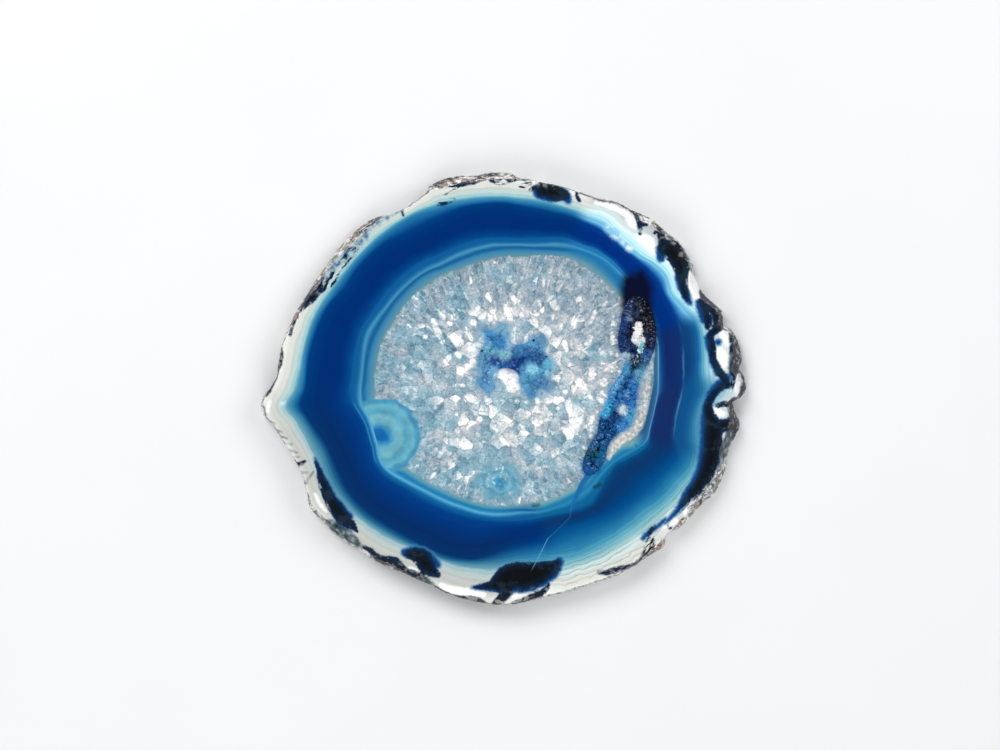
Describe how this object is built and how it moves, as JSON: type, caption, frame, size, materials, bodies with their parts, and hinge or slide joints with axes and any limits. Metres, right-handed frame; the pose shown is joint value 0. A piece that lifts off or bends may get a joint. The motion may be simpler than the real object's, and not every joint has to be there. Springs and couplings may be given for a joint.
{
  "type": "agate slice",
  "caption": "Thin polished cross-section of a blue-dyed banded agate nodule, with a rough rind rim and crystal-lined hollows; lies flat.",
  "frame": {"origin": "middle of the outline, on the sawn back face that the slice rests on", "axes": "+Z out of the polished front face, +X towards the right of the slice as its front is seen with the pointed side at the left"},
  "size_m": [0.0916, 0.0818, 0.005],
  "materials": {
    "banded_agate": "polished on both sawn faces, rough on the rim, dyed blue in bands",
    "dyed_quartz": "glossy blue-dyed quartz points",
    "pale_quartz": "glossy pale quartz points, dyed blue in the cracks"
  },
  "bodies": {
    "root": {"agate_slice": "banded_agate", "vug_crystals": "dyed_quartz", "pocket_crystals": "pale_quartz"}
  },
  "joints": []
}
